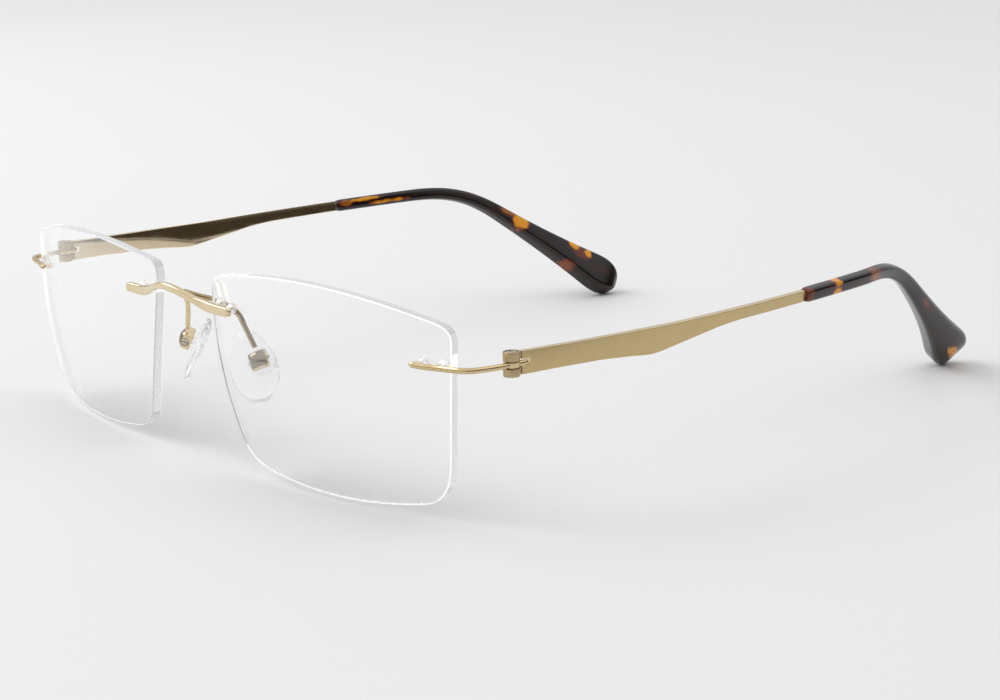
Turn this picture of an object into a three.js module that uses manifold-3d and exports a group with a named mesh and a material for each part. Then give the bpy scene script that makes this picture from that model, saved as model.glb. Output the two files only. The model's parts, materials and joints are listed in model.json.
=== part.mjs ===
// Rimless eyeglasses, drawn as the separate pieces they are assembled from.
// Millimetres. +X is the wearer's left, +Y runs back towards the temple tips, +Z is up.
// While the pieces are made, Y = 0 is the line through both hinges and X = 0 is the plane of
// symmetry. The last lines stand the finished object on Z = 0 with its footprint centred.

import * as THREE from 'three';
import { mergeVertices } from 'three/addons/utils/BufferGeometryUtils.js';
import Module from 'manifold-3d';

const wasm = await Module();
wasm.setup();

const { Vector2, Vector3 } = THREE;
const rad = THREE.MathUtils.degToRad;

// ---------------------------------------------------------------- driving dimensions

const HINGE_X = 68;                 // hinge axis to the plane of symmetry
const HINGE_Z = 25.33;              // middle of the hinge above the table
const CLEAR = 0.1;                  // working gap between pieces that touch in the real object

// Lens: its own frame has u towards the temple, v up and w out of the front surface.
const LENS_CENTRE = new Vector3(37.5, -15.0, 15.5);
const LENS_WRAP = 8.7;              // degrees that the temple side is swept back
const LENS_TILT = 5.1;              // degrees that the top leans forward
const LENS_RADIUS = 106;            // front surface
const LENS_THICKNESS = 1.6;
const LENS_EDGES = [                // the four bowed edges, anticlockwise from the nasal side
  { from: [-22.9, -9.8], to: [-16.5, -14.35], bulge: null },
  { from: [-16.5, -14.35], to: [18.5, -14.25], bulge: 1.35 },
  { from: [18.5, -14.25], to: [24.9, -6.8], bulge: null },
  { from: [24.9, -6.8], to: [26.5, 13.2], bulge: 0.35 },
  { from: [26.5, 13.2], to: [23.6, 16.3], bulge: null },
  { from: [23.6, 16.3], to: [-26.6, 17.75], bulge: 3.1 },
  { from: [-26.6, 17.75], to: [-28.7, 13.9], bulge: null },
  { from: [-28.7, 13.9], to: [-22.9, -9.8], bulge: 0.9 },
];
const BRIDGE_HOLES = [[-26.9, 12.75], [-23.3, 12.6]];
const TEMPLE_HOLES = [[20.7, 9.7], [24.2, 9.5]];
const LENS_HOLE_RADIUS = 0.75;

// Compression mount: a pin through a clear plastic sleeve through the lens.
const PIN_RADIUS = 0.38;
const PIN_LENGTH = 2.3;
const SLEEVE_WALL = 0.22;
const SLEEVE_FLANGE_RADIUS = 0.9;
const SLEEVE_FLANGE = 0.4;

// Bridge bar: flat end pads on the lens fronts and a raised arch over the nose.
const BAR_HALF_LENGTH = 16.1;
const BAR_Y = -17.25;
const BAR_Z = 28.4;
const BAR_BOW = 2.1;                // the arch stands this far forward
const BAR_RISE = 2.6;               // and this far up
const BAR_ARCH_HALF = 11.8;
const BAR_PAD_X = 9.6;              // deepest place of the end pads
const BAR_HEIGHT = 1.25;
const BAR_PAD_HEIGHT = 1.75;
const BAR_DEPTH = 1.15;

// Endpiece: a slim bar along the lens front that turns back to the hinge.
const ENDPIECE_HEIGHT = 0.95;
const ENDPIECE_DEPTH = 1.0;
const ENDPIECE_TAIL = 2.95;         // how far its tail passes the hinge axis

// Hinge: the endpiece's eye turns between two knuckles on the temple.
const KNUCKLE_RADIUS = 1.35;
const HINGE_TOP = 2.05;              // above and below the middle of the hinge
const HINGE_BOTTOM = -1.9;
const EYE_RADIUS = 1.3;
const HINGE_SCREW_RADIUS = 0.6;
const HINGE_HEAD_RADIUS = 0.9;
const HINGE_HEAD_DEPTH = 0.55;

// Temple: one path of arc length s from the hinge axis to the end of the tip.
const PLATE_START = 1.75;
const PLATE_END = 66.2;
const PLATE_TWIST = -12;            // degrees, reached where the plate narrows
const PLATE_TWIST_END = 45;
const PLATE_THICKNESS = 0.9;
const TIP_START = 66.7;
const TEMPLE_END = 140.9;
const BEND_START = 85.5;            // where the tip turns down behind the ear
const BEND_LENGTH = 23.5;
const BEND_DROP = 34.5;             // degrees
const TIP_TWIST = -26.5;            // further degrees along the tip
const CORE_HEIGHT = 1.25;
const CORE_THICKNESS = 0.75;
const CORE_START = PLATE_END + 0.1;
const CORE_END = 126;
const CORE_CLEAR = 0.15;

// Nose pads: each rocks on the screw of its box, which hangs on a bent wire arm.
const PAD_BOX_CENTRE = new Vector3(11.85, -8.4, 18.25);
const PAD_SPLAY = 38;               // degrees from X to the pad screw, seen from above
const PAD_LEAN = -24;               // degrees that the pad's lower end stands away from the nose
const PAD_ROLL = 22;                // degrees that its lower end swings back
const PAD_ARM_RADIUS = 0.45;
const PAD_BOX = { width: 3.0, height: 3.0, depth: 2.4, slot: 1.3 };
const PAD_SCREW_RADIUS = 0.38;
const PAD_SCREW_HEAD_RADIUS = 0.72;
const PAD_LENGTH = 13.2;
const PAD_WIDTH = 8.2;
const PAD_THICKNESS = 2.1;
const PAD_BACK = -1.6;              // back face of the pad, measured from the screw
const PAD_OFFSET = new Vector2(-1.8, 0);
const INSERT_RADIUS = 2.3;
const INSERT_THICKNESS = 0.7;

// ---------------------------------------------------------------- materials

function finish(color, roughness, metalness) {
  return new THREE.MeshStandardMaterial({ color, roughness, metalness });
}
const polishedGold = finish(0xd9c08a, 0.18, 1);
const satinGold = finish(0xc2a770, 0.42, 1);
const screwSteel = finish(0xb9b4a8, 0.3, 1);
const demoLens = finish(0xe9eff1, 0.03, 0);
const clearSleeve = finish(0xf4f4f0, 0.12, 0);
const clearPad = finish(0xeeeef2, 0.2, 0);
const tortoiseshell = finish(0x2b1610, 0.14, 0);

// ---------------------------------------------------------------- helpers

// A closed three.js geometry as a solid for joining and cutting, and back again.
function solid(geometry) {
  const bare = geometry.clone();
  bare.deleteAttribute('normal');
  bare.deleteAttribute('uv');
  const merged = mergeVertices(bare, 1e-5);
  return new wasm.Manifold(new wasm.Mesh({
    numProp: 3,
    vertProperties: Float32Array.from(merged.attributes.position.array),
    triVerts: Uint32Array.from(merged.index.array),
  }));
}

function surface(body) {
  const { vertProperties, triVerts } = body.getMesh();
  const geometry = new THREE.BufferGeometry();
  geometry.setAttribute('position', new THREE.BufferAttribute(vertProperties, 3));
  geometry.setIndex(new THREE.BufferAttribute(triVerts, 1));
  geometry.computeVertexNormals();
  return geometry;
}

// An outline pushed along t = 0..1, with every vertex then put where place(a, b, t) says.
function sweep(outline, steps, place) {
  const geometry = new THREE.ExtrudeGeometry(outline, { depth: 1, steps, bevelEnabled: false });
  const position = geometry.attributes.position;
  for (let i = 0; i < position.count; i += 1) {
    const point = place(position.getX(i), position.getY(i), position.getZ(i));
    position.setXYZ(i, point.x, point.y, point.z);
  }
  geometry.computeVertexNormals();
  return geometry;
}

// A unit superellipse: exponent 2 is round, and higher exponents are squarer.
function roundedOutline(count, exponent) {
  const points = [];
  for (let i = 0; i < count; i += 1) {
    const angle = ((i + 0.5) / count) * Math.PI * 2;
    const c = Math.cos(angle);
    const s = Math.sin(angle);
    const a = Math.sign(c) * Math.abs(c) ** (2 / exponent) * 0.5;
    const b = Math.sign(s) * Math.abs(s) ** (2 / exponent) * 0.5;
    points.push(new Vector2(a, b));
  }
  return new THREE.Shape(points);
}

// A rod of round section along X, Y or Z between two coordinates.
function rod(radius, axis, from, to, sides = 16) {
  const geometry = new THREE.CylinderGeometry(radius, radius, to - from, sides);
  geometry.translate(0, (from + to) / 2, 0);
  if (axis === 'x') geometry.rotateZ(-Math.PI / 2);
  if (axis === 'z') geometry.rotateX(Math.PI / 2);
  return geometry;
}

function block(low, high) {
  const geometry = new THREE.BoxGeometry(high[0] - low[0], high[1] - low[1], high[2] - low[2]);
  geometry.translate((low[0] + high[0]) / 2, (low[1] + high[1]) / 2, (low[2] + high[2]) / 2);
  return geometry;
}

function smooth(from, to, value) {
  return THREE.MathUtils.smoothstep(value, from, to);
}

// Straight lines between [position, value] knots.
function between(knots, at) {
  const next = knots.findIndex(([position]) => position >= at);
  if (next < 0) return knots[knots.length - 1][1];
  if (next === 0) return knots[0][1];
  const [p0, v0] = knots[next - 1];
  const [p1, v1] = knots[next];
  return v0 + ((v1 - v0) * (at - p0)) / (p1 - p0);
}

function mesh(name, geometry, material) {
  const item = new THREE.Mesh(geometry, material);
  item.name = name;
  return item;
}

// ---------------------------------------------------------------- lens

const lensFrame = new THREE.Matrix4();
{
  const u = new Vector3(Math.cos(rad(LENS_WRAP)), Math.sin(rad(LENS_WRAP)), 0);
  const v = new Vector3(0, 0, 1).applyAxisAngle(u, rad(LENS_TILT));
  lensFrame.makeBasis(u, v, u.clone().cross(v)).setPosition(LENS_CENTRE);
}

// Depth of the front surface at (u, v), measured from the lens's vertex.
function lensSag(u, v) {
  return Math.sqrt(LENS_RADIUS ** 2 - u * u - v * v) - LENS_RADIUS;
}

function onLens(u, v, proud = 0) {
  return new Vector3(u, v, lensSag(u, v) + proud).applyMatrix4(lensFrame);
}

// Control point of an edge's curve: above its middle for a bowed edge.
function bowControl({ from, to, bulge }) {
  const a = new Vector2(...from);
  const b = new Vector2(...to);
  const along = b.clone().sub(a).normalize();
  const outward = new Vector2(along.y, -along.x);
  return a.add(b).multiplyScalar(0.5).addScaledVector(outward, 2 * bulge);
}

// Where the tangents of the two neighbouring edges meet, for a rounded corner.
function cornerControl(before, corner, after) {
  const p = new Vector2(...corner.from);
  const q = new Vector2(...corner.to);
  const d = p.clone().sub(bowControl(before));
  const e = bowControl(after).sub(q);
  const gap = q.clone().sub(p);
  const reach = gap.cross(e) / d.cross(e);
  return p.addScaledVector(d, reach);
}

function lensOutline() {
  const outline = new THREE.Shape();
  outline.moveTo(...LENS_EDGES[0].from);
  LENS_EDGES.forEach((edge, i) => {
    const before = LENS_EDGES[(i + LENS_EDGES.length - 1) % LENS_EDGES.length];
    const after = LENS_EDGES[(i + 1) % LENS_EDGES.length];
    const control = edge.bulge === null ? cornerControl(before, edge, after) : bowControl(edge);
    outline.quadraticCurveTo(control.x, control.y, ...edge.to);
  });
  return outline;
}

// A round meniscus blank, cut to the outline and drilled for the mounts.
function lensGeometry() {
  const blankRadius = 35;
  const rings = 4;
  const backRadius = LENS_RADIUS - LENS_THICKNESS;
  const profile = [];
  for (let i = 0; i <= rings; i += 1) {
    const r = (blankRadius * i) / rings;
    profile.push(new Vector2(r, Math.sqrt(backRadius ** 2 - r * r) - LENS_RADIUS));
  }
  for (let i = rings; i >= 0; i -= 1) {
    const r = (blankRadius * i) / rings;
    profile.push(new Vector2(r, lensSag(r, 0)));
  }
  const blank = new THREE.LatheGeometry(profile, 32);
  blank.rotateX(Math.PI / 2);
  const cutter = new THREE.ExtrudeGeometry(lensOutline(), {
    depth: 16,
    bevelEnabled: false,
    curveSegments: 6,
  });
  cutter.translate(0, 0, -14);
  let lens = solid(blank).intersect(solid(cutter));
  for (const [u, v] of [...BRIDGE_HOLES, ...TEMPLE_HOLES]) {
    const drill = rod(LENS_HOLE_RADIUS, 'z', -12, 2);
    drill.translate(u, v, 0);
    lens = lens.subtract(solid(drill));
  }
  return surface(lens);
}

// ---------------------------------------------------------------- pins and sleeves

function pinGeometry([u, v], startProud) {
  const front = lensSag(u, v) + startProud;
  const pin = rod(PIN_RADIUS, 'z', front - PIN_LENGTH, front, 12);
  pin.translate(u, v, 0);
  return pin;
}

// A tube through the lens with a flange behind it.
function sleeveGeometry([u, v]) {
  const inner = PIN_RADIUS + 0.05;
  const outer = inner + SLEEVE_WALL;
  const front = lensSag(u, v) - 0.05;
  const rim = Math.hypot(u, v) + SLEEVE_FLANGE_RADIUS;
  const back = lensSag(rim, 0) - LENS_THICKNESS - 2 * CLEAR;
  const profile = [
    new Vector2(inner, back - SLEEVE_FLANGE),
    new Vector2(SLEEVE_FLANGE_RADIUS * 0.85, back - SLEEVE_FLANGE),
    new Vector2(SLEEVE_FLANGE_RADIUS, back - SLEEVE_FLANGE * 0.6),
    new Vector2(SLEEVE_FLANGE_RADIUS, back),
    new Vector2(outer, back),
    new Vector2(outer, front),
    new Vector2(inner, front),
    new Vector2(inner, back - SLEEVE_FLANGE),
  ];
  const sleeve = new THREE.LatheGeometry(profile, 12);
  sleeve.rotateX(Math.PI / 2);
  sleeve.translate(u, v, 0);
  return sleeve;
}

// ---------------------------------------------------------------- bridge bar

function barPoint(x) {
  const bell = 0.5 + 0.5 * Math.cos((Math.PI * Math.min(Math.abs(x), BAR_ARCH_HALF)) / BAR_ARCH_HALF);
  return new Vector3(x, BAR_Y - BAR_BOW * bell, BAR_Z + BAR_RISE * bell);
}

function barHeight(x) {
  const reach = Math.abs(x);
  const pad = smooth(BAR_PAD_X - 3, BAR_PAD_X, reach);
  const taper = 1 - 0.1 * smooth(BAR_PAD_X, BAR_HALF_LENGTH, reach);
  return (BAR_HEIGHT + (BAR_PAD_HEIGHT - BAR_HEIGHT) * pad) * taper;
}

function barGeometry() {
  const endRound = 0.8;
  return sweep(roundedOutline(10, 3.2), 38, (a, b, t) => {
    const x = (2 * t - 1) * BAR_HALF_LENGTH;
    const centre = barPoint(x);
    const past = Math.max(0, Math.abs(x) - (BAR_HALF_LENGTH - endRound)) / endRound;
    const round = Math.sqrt(1 - 0.85 * past * past);
    return new Vector3(x, centre.y + a * BAR_DEPTH * round, centre.z + b * barHeight(x) * round);
  });
}

// ---------------------------------------------------------------- endpiece

// The path starts at the free end on the lens and ends at the tail behind the hinge.
function endpiecePath() {
  const proud = ENDPIECE_DEPTH / 2 + CLEAR;
  const onFront = [[19.5, 9.8], [22, 9.6], [24.8, 9.5]].map(([u, v]) => onLens(u, v, proud));
  const turn = new Vector3(HINGE_X - 1.5, -7.7, HINGE_Z);
  const leg = new Vector3(HINGE_X - 0.2, -4.5, HINGE_Z);
  const eye = new Vector3(HINGE_X + 0.4, -0.8, HINGE_Z);
  const tail = new Vector3(HINGE_X + 0.55, ENDPIECE_TAIL, HINGE_Z);
  return new THREE.CatmullRomCurve3([...onFront, turn, leg, eye, tail], false, 'centripetal');
}

function endpieceGeometry() {
  const path = endpiecePath();
  const endRound = 0.04;
  const arm = sweep(roundedOutline(10, 3), 28, (a, b, t) => {
    const centre = path.getPointAt(t);
    const along = path.getTangentAt(t);
    const outward = new Vector3(along.y, -along.x, 0).normalize();
    const past = Math.max(0, endRound - t, t - (1 - endRound)) / endRound;
    const round = Math.sqrt(1 - 0.8 * past * past);
    centre.addScaledVector(outward, b * ENDPIECE_DEPTH * round);
    centre.z += a * ENDPIECE_HEIGHT * round;
    return centre;
  });
  const half = ENDPIECE_HEIGHT / 2;
  const eye = rod(EYE_RADIUS, 'z', HINGE_Z - half, HINGE_Z + half, 24);
  eye.translate(HINGE_X, 0, 0);
  const bore = rod(HINGE_SCREW_RADIUS + 0.15, 'z', HINGE_Z - 2, HINGE_Z + 2);
  bore.translate(HINGE_X, 0, 0);
  return surface(solid(arm).add(solid(eye)).subtract(solid(bore)));
}

// ---------------------------------------------------------------- temple path

// Heading of the temple's line in degrees: slightly outward at first, then round the head.
function templeYaw(s) {
  const plate = Math.min(s, PLATE_END);
  const curl = 8 * smooth(82, 90, s);
  return -3.6 + 0.06 * plate + 0.0011 * plate * plate + 0.163 * (s - plate) + curl;
}

function templePitch(s) {
  return -0.3 + BEND_DROP * smooth(BEND_START, BEND_START + BEND_LENGTH, s);
}

// The flat section turns about its own line towards the tip.
function templeTwist(s) {
  return PLATE_TWIST * smooth(0, PLATE_TWIST_END, s) + TIP_TWIST * smooth(TIP_START, TEMPLE_END, s);
}

const PATH_STEP = 0.5;
const templeLine = [new Vector3(-0.05, 0, 0)];
for (let s = 0; s < TEMPLE_END; s += PATH_STEP) {
  const yaw = rad(templeYaw(s + PATH_STEP / 2));
  const pitch = rad(templePitch(s + PATH_STEP / 2));
  const level = Math.cos(pitch);
  const step = new Vector3(-Math.sin(yaw) * level, Math.cos(yaw) * level, -Math.sin(pitch));
  templeLine.push(templeLine[templeLine.length - 1].clone().addScaledVector(step, PATH_STEP));
}

// A point beside the temple's line at s, moved up and outward within the section.
function besideTemple(s, up, outward) {
  const index = Math.min(s / PATH_STEP, templeLine.length - 1.001);
  const i = Math.floor(index);
  const centre = templeLine[i].clone().lerp(templeLine[i + 1], index - i);
  const yaw = rad(templeYaw(s));
  const pitch = rad(templePitch(s));
  const side = new Vector3(Math.cos(yaw), Math.sin(yaw), 0);
  const along = new Vector3(-Math.sin(yaw) * Math.cos(pitch), Math.cos(yaw) * Math.cos(pitch), -Math.sin(pitch));
  const top = side.clone().cross(along).applyAxisAngle(along, -rad(templeTwist(s)));
  side.applyAxisAngle(along, -rad(templeTwist(s)));
  return centre.addScaledVector(top, up).addScaledVector(side, outward);
}

// ---------------------------------------------------------------- temple pieces

// Upper and lower edge of the plate, measured from the temple's line.
const PLATE_TOP = [[0, 1.95], [16, 1.45], [34, 1.03], [PLATE_END, 1.03]];
const PLATE_BOTTOM = [
  [0, -1.9], [10, -2.1], [18, -2.4], [24, -2.95], [28.5, -3.5], [30.5, -3.5],
  [45, -1.45], [50, -1.15], [PLATE_END, -1.05],
];

function plateGeometry() {
  const plate = sweep(roundedOutline(8, 9), 36, (a, b, t) => {
    const s = PLATE_START + (PLATE_END - PLATE_START) * t;
    const top = between(PLATE_TOP, s);
    const bottom = between(PLATE_BOTTOM, s);
    return besideTemple(s, (top + bottom) / 2 + a * (top - bottom), b * PLATE_THICKNESS);
  });
  const half = ENDPIECE_HEIGHT / 2 + CLEAR;
  const slot = block([-3, 0, -half], [3, ENDPIECE_TAIL + 0.4, half]);
  return surface(solid(plate).subtract(solid(slot)));
}

// A knuckle is a barrel with a short foot on the end of the plate.
function knuckleGeometry(low, high, headRecess) {
  const barrel = rod(KNUCKLE_RADIUS, 'z', low, high, 24);
  const foot = block([-0.45, 0.9, low + 0.1], [0.4, PLATE_START - CLEAR, high - 0.1]);
  const bore = rod(HINGE_SCREW_RADIUS + 0.07, 'z', low - 1, high + 1);
  let knuckle = solid(barrel).add(solid(foot)).subtract(solid(bore));
  if (headRecess) {
    const recess = rod(HINGE_HEAD_RADIUS + 0.1, 'z', high - HINGE_HEAD_DEPTH - 0.1, high + 1);
    knuckle = knuckle.subtract(solid(recess));
  }
  return surface(knuckle);
}

function hingeScrewGeometry() {
  const top = HINGE_TOP - 0.05;
  const shank = rod(HINGE_SCREW_RADIUS, 'z', HINGE_BOTTOM, top - 0.2);
  const head = rod(HINGE_HEAD_RADIUS, 'z', top - HINGE_HEAD_DEPTH + 0.1, top);
  const slot = block([-1.2, -0.14, top - 0.2], [1.2, 0.14, top + 1]);
  return surface(solid(shank).add(solid(head)).subtract(solid(slot)));
}

function coreOutline(s, a, b, spare) {
  return besideTemple(s, a * (CORE_HEIGHT + 2 * spare), b * (CORE_THICKNESS + 2 * spare));
}

function coreGeometry() {
  return sweep(roundedOutline(8, 4), 20, (a, b, t) => {
    const s = CORE_START + (CORE_END - CORE_START) * t;
    return coreOutline(s, a, b, 0);
  });
}

// The acetate tip grows into a paddle and is bored for the core.
function tipGeometry() {
  const startRound = 1.2;
  const endRound = 5.6;
  const tip = sweep(roundedOutline(12, 3.6), 36, (a, b, t) => {
    const s = TIP_START + (TEMPLE_END - TIP_START) * t;
    const grown = Math.max(0, (s - BEND_START) / (TEMPLE_END - BEND_START));
    const into = Math.max(0, TIP_START + startRound - s) / startRound;
    const out = Math.max(0, s - (TEMPLE_END - endRound)) / endRound;
    const nose = Math.sqrt(1 - 0.35 * into * into);
    const height = (2.5 + 8.25 * grown ** 3.1) * Math.sqrt(1 - 0.97 * out * out);
    const thickness = (2.3 + 2.2 * smooth(0, 1, grown)) * Math.sqrt(1 - 0.94 * out ** 4);
    return besideTemple(s, a * height * nose, b * thickness * nose);
  });
  const bore = sweep(roundedOutline(8, 4), 20, (a, b, t) => {
    const s = TIP_START - 1 + (CORE_END + 0.4 - TIP_START + 1) * t;
    return coreOutline(s, a, b, CORE_CLEAR);
  });
  return surface(solid(tip).subtract(solid(bore)));
}

// ---------------------------------------------------------------- nose pad pieces

// The arm leaves the back of the bridge, runs back and out, and drops to the box.
function padArmGeometry() {
  const start = barPoint(3.6);
  start.y += BAR_DEPTH / 2 + 0.25;
  const path = new THREE.CatmullRomCurve3([
    start,
    new Vector3(5.3, -15.9, 29.5),
    new Vector3(6.7, -13.6, 28.7),
    new Vector3(7.8, -11.5, 27.7),
    new Vector3(8.6, -9.9, 26.0),
    new Vector3(9.2, -9.3, 24.3),
    new Vector3(11.05, -8.45, 20.25),
  ]);
  const section = roundedOutline(8, 2);
  const scaled = new THREE.Shape(section.getPoints(1).slice(0, 8).map((p) => p.multiplyScalar(2 * PAD_ARM_RADIUS)));
  return new THREE.ExtrudeGeometry(scaled, { extrudePath: path, steps: 24, bevelEnabled: false });
}

// The screw of the box lies on local X, the nose is towards local -Z and Y is up.
function padGroup() {
  const screwAxis = new Vector3(Math.cos(rad(PAD_SPLAY)), Math.sin(rad(PAD_SPLAY)), 0);
  const up = new Vector3(0, 0, 1).applyAxisAngle(screwAxis, rad(PAD_LEAN));
  const away = screwAxis.clone().cross(up);
  screwAxis.applyAxisAngle(away, rad(PAD_ROLL));
  up.applyAxisAngle(away, rad(PAD_ROLL));
  const group = new THREE.Group();
  group.matrixAutoUpdate = false;
  group.matrix.makeBasis(screwAxis, up, away).setPosition(PAD_BOX_CENTRE);
  return group;
}

// A D-shaped block with a slot for the pad's tang, open towards the nose.
function padBoxGeometry() {
  const { width, height, depth, slot } = PAD_BOX;
  const bevel = 0.3;
  const outline = new THREE.Shape();
  outline.moveTo(-depth / 2 + bevel, -height / 2 + bevel);
  outline.lineTo(0, -height / 2 + bevel);
  outline.quadraticCurveTo(depth / 2 - bevel, -height / 2 + bevel, depth / 2 - bevel, 0);
  outline.quadraticCurveTo(depth / 2 - bevel, height / 2 - bevel, 0, height / 2 - bevel);
  outline.lineTo(-depth / 2 + bevel, height / 2 - bevel);
  const body = new THREE.ExtrudeGeometry(outline, {
    depth: width - 2 * bevel,
    bevelThickness: bevel,
    bevelSize: bevel,
    bevelSegments: 2,
    curveSegments: 4,
  });
  body.translate(0, 0, -width / 2 + bevel);
  body.rotateY(Math.PI / 2);
  body.rotateX(Math.PI);
  const opening = block([-slot / 2, -height, -depth], [slot / 2, height, depth / 2 - 0.5]);
  const bore = rod(PAD_SCREW_RADIUS + 0.1, 'x', -width, width);
  const recess = rod(PAD_SCREW_HEAD_RADIUS + 0.1, 'x', -width, -width / 2 + 0.5);
  return surface(solid(body).subtract(solid(opening)).subtract(solid(bore)).subtract(solid(recess)));
}

function padScrewGeometry() {
  const head = -PAD_BOX.width / 2;
  const shank = rod(PAD_SCREW_RADIUS, 'x', head + 0.2, PAD_BOX.width / 2 + 0.45, 12);
  const cap = rod(PAD_SCREW_HEAD_RADIUS, 'x', head - 0.05, head + 0.4);
  const slot = block([head - 1, -0.1, -1], [head + 0.12, 0.1, 1]);
  return surface(solid(shank).add(solid(cap)).subtract(solid(slot)));
}

// A soft oval pillow, narrower at the top, with a pocket behind for the insert.
function padGeometry() {
  const profile = [];
  const rim = 8;
  for (let i = 0; i <= rim; i += 1) {
    const angle = -Math.PI / 2 + (Math.PI * i) / rim;
    const x = Math.cos(angle) ** 0.55;
    profile.push(new Vector2(i === 0 || i === rim ? 0 : x, Math.sin(angle) * 0.5));
  }
  const pad = new THREE.LatheGeometry(profile, 24);
  pad.rotateX(Math.PI / 2);
  const position = pad.attributes.position;
  for (let i = 0; i < position.count; i += 1) {
    const y = position.getY(i);
    const narrow = 1 - 0.16 * y;
    position.setX(i, position.getX(i) * narrow * (PAD_WIDTH / 2) + PAD_OFFSET.x);
    position.setY(i, (y * PAD_LENGTH) / 2 + PAD_OFFSET.y);
    position.setZ(i, position.getZ(i) * PAD_THICKNESS + PAD_BACK - PAD_THICKNESS / 2);
  }
  const pocket = rod(INSERT_RADIUS + 0.12, 'z', PAD_BACK - INSERT_THICKNESS - 0.25, PAD_BACK + 1, 24);
  return surface(solid(pad).subtract(solid(pocket)));
}

// A disc moulded into the pad with a tang that fits the box.
function padInsertGeometry() {
  const tangHalf = PAD_BOX.slot / 2 - 0.15;
  const disc = rod(INSERT_RADIUS, 'z', PAD_BACK - INSERT_THICKNESS - 0.1, PAD_BACK - 0.1, 24);
  const eyeRadius = 0.62;
  const tang = block([-tangHalf, -eyeRadius, PAD_BACK - 0.4], [tangHalf, eyeRadius, 0]);
  const eye = rod(eyeRadius, 'x', -tangHalf, tangHalf);
  const bore = rod(PAD_SCREW_RADIUS + 0.08, 'x', -2, 2);
  return surface(solid(disc).add(solid(tang)).add(solid(eye)).subtract(solid(bore)));
}

// ---------------------------------------------------------------- the left half

function leftHalf() {
  const half = new THREE.Group();

  const lens = new THREE.Group();
  lens.matrixAutoUpdate = false;
  lens.matrix.copy(lensFrame);
  lens.add(mesh('left_lens', lensGeometry(), demoLens));
  BRIDGE_HOLES.forEach((hole, i) => {
    lens.add(mesh(`left_bridge_pin_${i + 1}`, pinGeometry(hole, 0.05), polishedGold));
    lens.add(mesh(`left_bridge_sleeve_${i + 1}`, sleeveGeometry(hole), clearSleeve));
  });
  TEMPLE_HOLES.forEach((hole, i) => {
    lens.add(mesh(`left_endpiece_pin_${i + 1}`, pinGeometry(hole, 0.05), polishedGold));
    lens.add(mesh(`left_endpiece_sleeve_${i + 1}`, sleeveGeometry(hole), clearSleeve));
  });
  half.add(lens);

  half.add(mesh('left_endpiece', endpieceGeometry(), polishedGold));

  const temple = new THREE.Group();
  temple.position.set(HINGE_X, 0, HINGE_Z);
  const eyeHalf = ENDPIECE_HEIGHT / 2 + CLEAR;
  temple.add(mesh('left_upper_knuckle', knuckleGeometry(eyeHalf, HINGE_TOP, true), satinGold));
  temple.add(mesh('left_lower_knuckle', knuckleGeometry(HINGE_BOTTOM, -eyeHalf, false), satinGold));
  temple.add(mesh('left_hinge_screw', hingeScrewGeometry(), screwSteel));
  temple.add(mesh('left_temple', plateGeometry(), satinGold));
  temple.add(mesh('left_temple_core', coreGeometry(), screwSteel));
  temple.add(mesh('left_temple_tip', tipGeometry(), tortoiseshell));
  half.add(temple);

  half.add(mesh('left_pad_arm', padArmGeometry(), polishedGold));
  const pad = padGroup();
  pad.add(mesh('left_pad_box', padBoxGeometry(), polishedGold));
  pad.add(mesh('left_pad_screw', padScrewGeometry(), screwSteel));
  pad.add(mesh('left_nose_pad', padGeometry(), clearPad));
  pad.add(mesh('left_pad_insert', padInsertGeometry(), clearSleeve));
  half.add(pad);
  return half;
}

// The right half is the left one reflected, with its triangles turned to face out again.
function reflected(half) {
  const other = new THREE.Group();
  half.updateMatrixWorld(true);
  half.traverse((item) => {
    if (!item.isMesh) return;
    const geometry = item.geometry.index ? item.geometry.toNonIndexed() : item.geometry.clone();
    geometry.applyMatrix4(item.matrixWorld);
    const position = geometry.attributes.position;
    for (let i = 0; i < position.count; i += 3) {
      const [a, b, c] = [0, 1, 2].map((k) => new Vector3().fromBufferAttribute(position, i + k));
      position.setXYZ(i, -a.x, a.y, a.z);
      position.setXYZ(i + 1, -c.x, c.y, c.z);
      position.setXYZ(i + 2, -b.x, b.y, b.z);
    }
    geometry.computeVertexNormals();
    other.add(mesh(item.name.replace('left', 'right'), geometry, item.material));
  });
  return other;
}

// ---------------------------------------------------------------- assembly

const eyeglasses = new THREE.Group();
const left = leftHalf();
eyeglasses.add(mesh('bridge_bar', barGeometry(), polishedGold), left, reflected(left));

const box = new THREE.Box3().setFromObject(eyeglasses, true);
eyeglasses.position.set(0, -(box.min.y + box.max.y) / 2, -box.min.z);

export default eyeglasses;
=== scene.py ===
import json
import math

import bmesh
import bpy
from mathutils import Matrix, Vector


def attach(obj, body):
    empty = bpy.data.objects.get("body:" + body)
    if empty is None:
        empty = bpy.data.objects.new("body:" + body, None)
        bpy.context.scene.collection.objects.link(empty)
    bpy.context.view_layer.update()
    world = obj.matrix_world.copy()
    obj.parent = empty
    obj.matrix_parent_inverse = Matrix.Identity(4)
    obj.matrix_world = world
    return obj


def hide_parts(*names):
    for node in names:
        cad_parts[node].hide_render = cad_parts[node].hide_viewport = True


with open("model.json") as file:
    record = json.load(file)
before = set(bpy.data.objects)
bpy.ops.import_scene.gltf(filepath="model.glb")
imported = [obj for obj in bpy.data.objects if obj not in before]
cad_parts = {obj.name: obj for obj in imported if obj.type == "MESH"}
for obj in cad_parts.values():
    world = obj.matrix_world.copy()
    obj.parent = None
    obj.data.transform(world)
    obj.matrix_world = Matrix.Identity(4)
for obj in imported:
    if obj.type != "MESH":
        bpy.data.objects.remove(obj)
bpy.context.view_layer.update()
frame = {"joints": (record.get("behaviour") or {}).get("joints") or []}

scene = bpy.context.scene

# Shapes are made in millimetres with Y = 0 on the line through both hinges, as in the solids,
# and then moved to the row frame. The left half is drawn and the right half is its reflection.

# ---------------------------------------------------- driving dimensions, mm and degrees

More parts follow.
